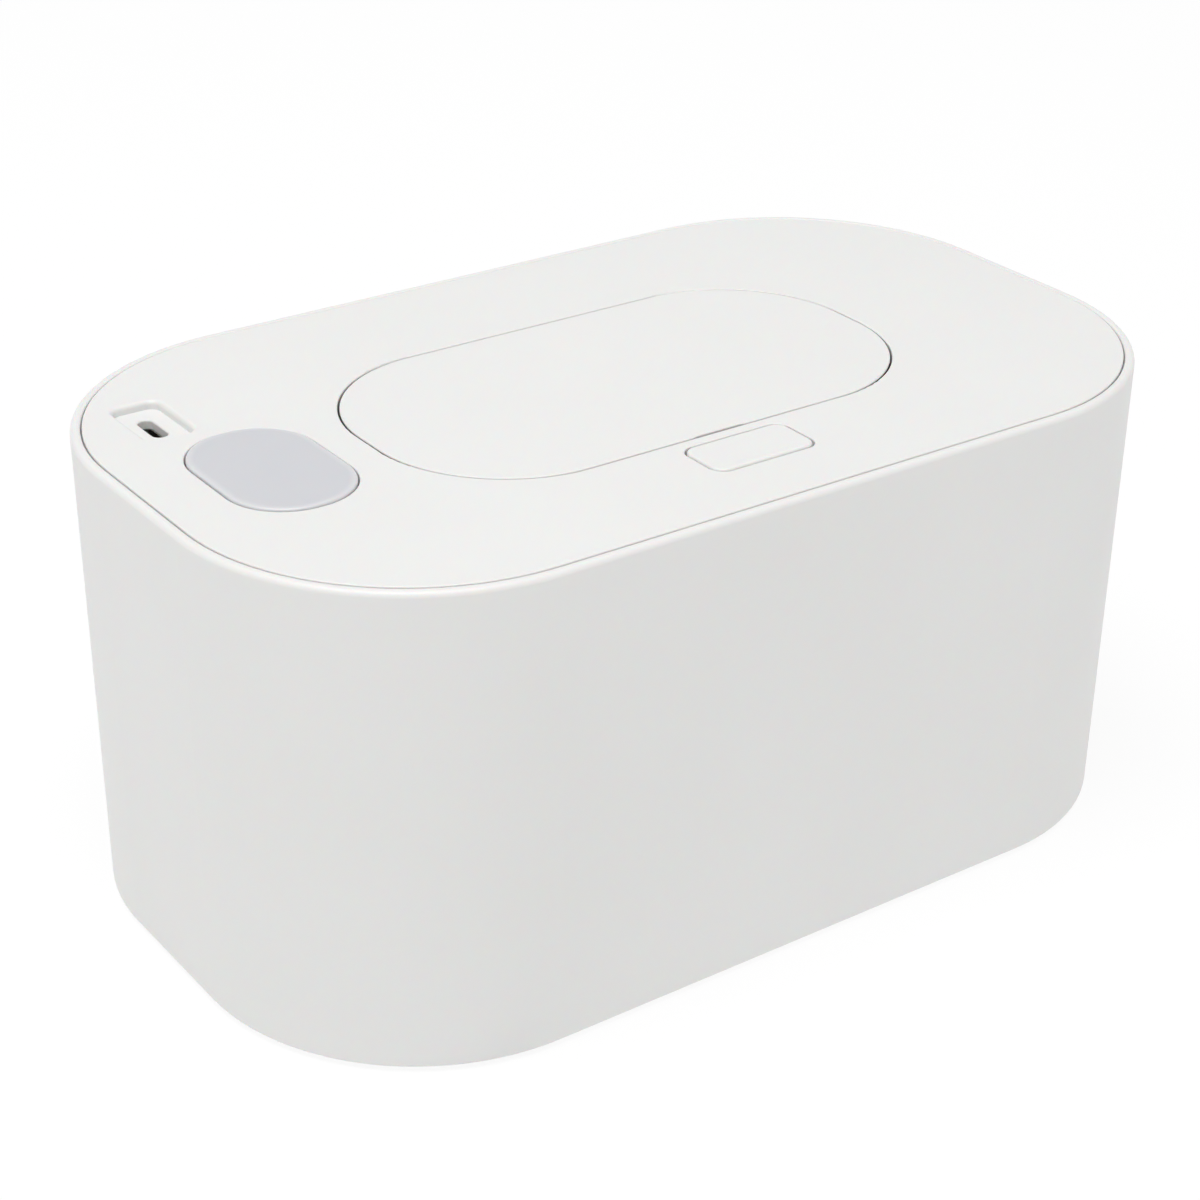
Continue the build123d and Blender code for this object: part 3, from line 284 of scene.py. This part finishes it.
# Glass-epoxy board under green solder mask: glossy, the copper tracks stand up under it. pitch is from track
# to track and width a track's, in mm; run is a track's length in pitches; shift moves every few rows along.
board = {"mask": "#14532C", "track": "#1F7040", "pitch": 1.6, "run": 9, "width": 0.5, "copper": 0.035,
         "shift": 0.37, "shiftEvery": 3, "roughness": 0.22, "ior": 1.55, "coat": 0.3, "coatRoughness": 0.1}


def solderMask(name):
    material, tree, shader, place = newMaterial(name, {
        "Roughness": board["roughness"],
        "IOR": board["ior"],
        "Coat Weight": board["coat"],
        "Coat Roughness": board["coatRoughness"],
    })
    pitch = board["pitch"] * mm
    tracks = addNode(tree, "ShaderNodeTexBrick",
                     {"Scale": 1.0, "Mortar Size": board["width"] * mm / 2, "Mortar Smooth": 0.0,
                      "Brick Width": pitch * board["run"], "Row Height": pitch,
                      "Color1": linear(board["mask"]), "Color2": linear(board["mask"]),
                      "Mortar": linear(board["track"])},
                     {"Vector": place}, {"Color": shader.inputs["Base Color"]},
                     offset=board["shift"], offset_frequency=board["shiftEvery"])
    addNode(tree, "ShaderNodeBump", {"Strength": 1.0, "Distance": board["copper"] * mm},
            {"Height": tracks.outputs["Fac"]}, {"Normal": shader.inputs["Normal"]})
    return material


finishes = {name: mouldedPlastic(name) for name in plastics}
finishes.update({name: workedMetal(name) for name in metals})
finishes["frostedWindow"] = frostedLens("frostedWindow")
finishes["heaterFoil"] = heaterFoil("heaterFoil")
finishes["cutFoam"] = cutFoam("cutFoam")
finishes["solderMask"] = solderMask("solderMask")

finishOf = {
    "whiteAbs": ["outer_case", "top_cover", "lid_shell", "latch_button"],
    "satinPolypropylene": ["inner_cover", "lid_liner", "latch_carrier", "key_carrier"],
    "slickAcetal": ["latch_slider"],
    "footRubber": ["rubber_feet"],
    "milkySilicone": ["cover_gasket", "lid_seal"],
    "frostedWindow": ["key_lens"],
    "rolledAluminium": ["heater_tray"],
    "heaterFoil": ["heating_film"],
    "cutFoam": ["insulation_foam"],
    "solderMask": ["control_board"],
    "zincSteel": ["cover_screws", "board_screws", "heater_screws", "latch_screws"],
    "drawnSteel": ["hinge_pins", "lid_springs", "latch_spring"],
    "nickelPlate": ["socket_shell"],
    "blackResin": ["socket_tongue", "control_chip", "power_coil", "tact_switches", "thermistor"],
    "darkNylon": ["switch_plungers"],
    "displayWhite": ["led_display"],
    "drawnCan": ["capacitors"],
    "creamNylon": ["board_plugs"],
    "glazedCeramic": ["thermal_fuse"],
    "leadSheath": ["heater_leads"],
}
for finish, names in finishOf.items():
    for name in names:
        mesh = nodes[name].data
        mesh.materials.clear()
        mesh.materials.append(finishes[finish])
print("finishes:", len(finishes))


# New pieces
def newPiece(name, bm, finish, smoothUnder=40):
    # edges that turn by less than smoothUnder degrees are shaded smooth
    mesh = bpy.data.meshes.new(name)
    bm.to_mesh(mesh)
    bm.free()
    mesh.materials.append(finishes[finish])
    mesh.polygons.foreach_set("use_smooth", [True] * len(mesh.polygons))
    mesh.set_sharp_from_angle(angle=radians(smoothUnder))
    piece = bpy.data.objects.new(name, mesh)
    bpy.context.scene.collection.objects.link(piece)
    return piece


def wireRing(bm, wire, centre, axis, steps=10):
    # round section of a wire of this radius, where its middle line points along axis
    turn = Vector(axis).to_track_quat("Z", "Y").to_matrix().to_4x4()
    ring = bmesh.ops.create_circle(bm, cap_ends=False, segments=steps, radius=wire,
                                   matrix=Matrix.Translation(centre) @ turn)["verts"]
    return list({edge for vert in ring for edge in vert.link_edges})


def wind(bm, edges, axis, centre, turns, rise, steps=20):
    # carries the section round and along the axis, in so many steps a turn; returns the edges at the end
    count = max(1, round(abs(turns) * steps))
    verts = list({vert for edge in edges for vert in edge.verts})
    wound = bmesh.ops.spin(bm, geom=verts + edges, cent=centre, axis=axis, dvec=Vector(axis) * rise / count,
                           angle=2 * pi * turns, steps=count, use_merge=False)
    return [item for item in wound["geom_last"] if isinstance(item, bmesh.types.BMEdge)]


def pull(bm, edges, way):
    pulled = bmesh.ops.extrude_edge_only(bm, edges=edges)["geom"]
    bmesh.ops.translate(bm, verts=[item for item in pulled if isinstance(item, bmesh.types.BMVert)], vec=way)
    return [item for item in pulled if isinstance(item, bmesh.types.BMEdge) and item.is_boundary]


def closeWire(bm):
    bmesh.ops.holes_fill(bm, edges=[edge for edge in bm.edges if edge.is_boundary], sides=0)
    bmesh.ops.recalc_face_normals(bm, faces=bm.faces[:])


# Lid springs: each coil turns round a hinge pin, one leg against the well, one leg behind the arm's peg.
# Sizes are in mm, and wire and radius are radii.
lidSpring = {"wire": 0.3, "radius": 1.7, "turns": 5.5, "pitch": 0.7, "rearLeg": 6.0, "frontLeg": 8.3}


def makeLidSprings():
    lo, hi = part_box("lid_springs")
    wire, radius = lidSpring["wire"] * mm, lidSpring["radius"] * mm
    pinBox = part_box("hinge_pins")
    hinge = Vector((0, (pinBox[0].y + pinBox[1].y) / 2, (pinBox[0].z + pinBox[1].z) / 2))
    rise = lidSpring["turns"] * lidSpring["pitch"] * mm
    slope = lidSpring["pitch"] * mm / (2 * pi * radius)
    legs = lidSpring["rearLeg"] * mm, lidSpring["frontLeg"] * mm
    # the two springs fill the node's box from its ends: each coil starts on the side of the lid's middle
    length = rise + (legs[0] + legs[1]) * slope + 2 * wire
    for name, side, startX in (("lidSpringLeft", -1, lo.x + length), ("lidSpringRight", 1, hi.x - length)):
        bm = bmesh.new()
        coilX = startX + side * (wire + legs[0] * slope)
        centre = Vector((coilX, hinge.y, hinge.z))
        tangent = Vector((side * slope, 0, 1)).normalized()
        section = wireRing(bm, wire, centre + Vector((0, radius, 0)), tangent)
        last = wind(bm, section, (side, 0, 0), centre, side * lidSpring["turns"], rise)
        pull(bm, section, -tangent * legs[0])
        pull(bm, last, Vector((tangent.x, 0, -tangent.z)) * legs[1])
        closeWire(bm)
        spring = newPiece(name, bm, "drawnSteel")
        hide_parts("lid_springs")
        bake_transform(spring)


makeLidSprings()

# Latch spring: a pressed coil with closed ends, between the carrier's seat and the slider's pad. Sizes are in
# mm, wire is a radius, and endPitch is the rise of a closed turn in wire radii.
latchSpring = {"wire": 0.25, "endTurns": 0.75, "endPitch": 2.1, "turns": 2.75, "travel": 1.6}


def makeLatchSpring():
    lo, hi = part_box("latch_spring")
    wire = latchSpring["wire"] * mm
    radius = (hi.x - lo.x) / 2 - wire
    length = hi.y - lo.y
    centre = Vector(((lo.x + hi.x) / 2, lo.y + wire, (lo.z + hi.z) / 2))
    endRise = latchSpring["endTurns"] * latchSpring["endPitch"] * wire
    openRise = length - 2 * wire - 2 * endRise
    bm = bmesh.new()
    section = wireRing(bm, wire, centre + Vector((radius, 0, 0)), (0, 0, 1))
    for turns, rise in ((latchSpring["endTurns"], endRise), (latchSpring["turns"], openRise),
                        (latchSpring["endTurns"], endRise)):
        section = wind(bm, section, (0, 1, 0), centre, turns, rise)
    closeWire(bm)
    spring = newPiece("latchSpring", bm, "drawnSteel")
    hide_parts("latch_spring")
    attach(spring, "cover")
    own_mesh(spring)


makeLatchSpring()


# Lens of the display key: a plate with round corners and a rounded upper edge. Sizes are in mm, and fade is
# how far in from the edge the painted edge highlight runs before the frosting gets its full tone.
lens = {"corner": 11.8, "cornerSteps": 28, "edge": 0.5, "edgeSteps": 4, "fade": 1.1}


def makeLens():
    lo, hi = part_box("key_lens")
    size, middle = hi - lo, (lo + hi) / 2
    bm = bmesh.new()
    plate = bmesh.ops.create_grid(bm, x_segments=1, y_segments=1, size=0.5)["verts"]  # 1 m on each side
    bmesh.ops.scale(bm, verts=plate, vec=(size.x, size.y, 1))
    bmesh.ops.translate(bm, verts=plate, vec=(middle.x, middle.y, lo.z))
    bmesh.ops.bevel(bm, geom=plate, offset=lens["corner"] * mm, segments=lens["cornerSteps"], profile=0.5,
                    affect="VERTICES", material=-1)
    top = bmesh.ops.extrude_face_region(bm, geom=bm.faces[:])["geom"]
    bmesh.ops.translate(bm, verts=[v for v in top if isinstance(v, bmesh.types.BMVert)], vec=(0, 0, size.z))
    topFace = next(f for f in top if isinstance(f, bmesh.types.BMFace))
    bmesh.ops.bevel(bm, geom=list(topFace.edges), offset=lens["edge"] * mm, segments=lens["edgeSteps"],
                    profile=0.5, affect="EDGES", material=-1)
    # 0 along the edge, where the painted highlight is full, and 1 on the inner face
    paintedHighlightFade = bm.verts.layers.float.new("paintedHighlightFade")
    face = max(bm.faces, key=lambda f: (round(f.calc_center_median().z, 6), f.calc_area()))
    bmesh.ops.inset_region(bm, faces=[face], thickness=lens["fade"] * mm, use_even_offset=True)
    for vert in face.verts:
        vert[paintedHighlightFade] = 1.0
    bmesh.ops.recalc_face_normals(bm, faces=bm.faces[:])
    piece = newPiece("displayLens", bm, "frostedWindow")
    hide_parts("key_lens")
    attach(piece, "display_key")


makeLens()
print("new pieces done")

# Floor, light and camera. The floor is a matt acrylic table lit from below, so that hardly any shadow falls
# on it. The sky pales towards the horizon, up to where its direction's rise is paleUpTo. The softbox stands
# high up on the left, towards the front, and gives the rim its bright edge.
studio = {"floor": "#6A6A6A", "floorLight": "#FFFFFF", "floorGlow": 0.83, "floorRoughness": 0.9,
          "floorSize": 60.0, "sky": "#FFFFFF", "ceiling": 0.5, "horizon": 1.0, "paleUpTo": 0.16}
softbox = {"place": (-0.42, -0.26, 1.95), "size": (1.6, 1.3), "power": 28.4}

bm = bmesh.new()
bmesh.ops.create_grid(bm, x_segments=1, y_segments=1, size=studio["floorSize"] / 2)
finishes["acrylicTable"] = newMaterial("acrylicTable", {
    "Base Color": linear(studio["floor"]),
    "Roughness": studio["floorRoughness"],
    "Emission Color": linear(studio["floorLight"]),
    "Emission Strength": studio["floorGlow"],
})[0]
floor = newPiece("floor", bm, "acrylicTable")

world = bpy.data.worlds.new("studio")
world.use_nodes = True
sky = world.node_tree
sky.nodes["Background"].inputs["Color"].default_value = linear(studio["sky"])
skyPlace = addNode(sky, "ShaderNodeTexCoord").outputs["Generated"]
rise = addNode(sky, "ShaderNodeSeparateXYZ", links={"Vector": skyPlace}).outputs["Z"]
addNode(sky, "ShaderNodeMapRange",
        {"From Max": studio["paleUpTo"], "To Min": studio["horizon"], "To Max": studio["ceiling"]},
        {"Value": rise}, {"Result": sky.nodes["Background"].inputs["Strength"]})
bpy.context.scene.world = world
bpy.context.scene.view_settings.view_transform = "Standard"

lampData = bpy.data.lights.new("softbox", "AREA")
lampData.shape = "RECTANGLE"
lampData.size, lampData.size_y = softbox["size"]
lampData.energy = softbox["power"]
lamp = bpy.data.objects.new("softbox", lampData)
bpy.context.scene.collection.objects.link(lamp)
lamp.location = softbox["place"]
lamp.rotation_euler = Vector(softbox["place"]).to_track_quat("Z", "Y").to_euler()

# degrees, metres, and mm for the lens and its sensor
view = {"azimuth": -35.568, "elevation": 27.63, "roll": 0.679, "distance": 0.5373,
        "target": (-0.0044, 0.0, 0.05018), "nearest": 0.01, "lens": 79.22, "sensor": 36.0}
azimuth, elevation = radians(view["azimuth"]), radians(view["elevation"])
back = Vector((sin(azimuth) * cos(elevation), -cos(azimuth) * cos(elevation), sin(elevation)))
cameraData = bpy.data.cameras.new("camera")
cameraData.lens = view["lens"]
cameraData.sensor_width = view["sensor"]
cameraData.clip_start = view["nearest"]
camera = bpy.data.objects.new("camera", cameraData)
bpy.context.scene.collection.objects.link(camera)
camera.rotation_mode = "QUATERNION"
camera.location = Vector(view["target"]) + back * view["distance"]
turn = back.to_track_quat("Z", "Y").to_matrix() @ Matrix.Rotation(radians(view["roll"]), 3, "Z")
camera.rotation_quaternion = turn.to_quaternion()
bpy.context.scene.camera = camera
print("stage ready")
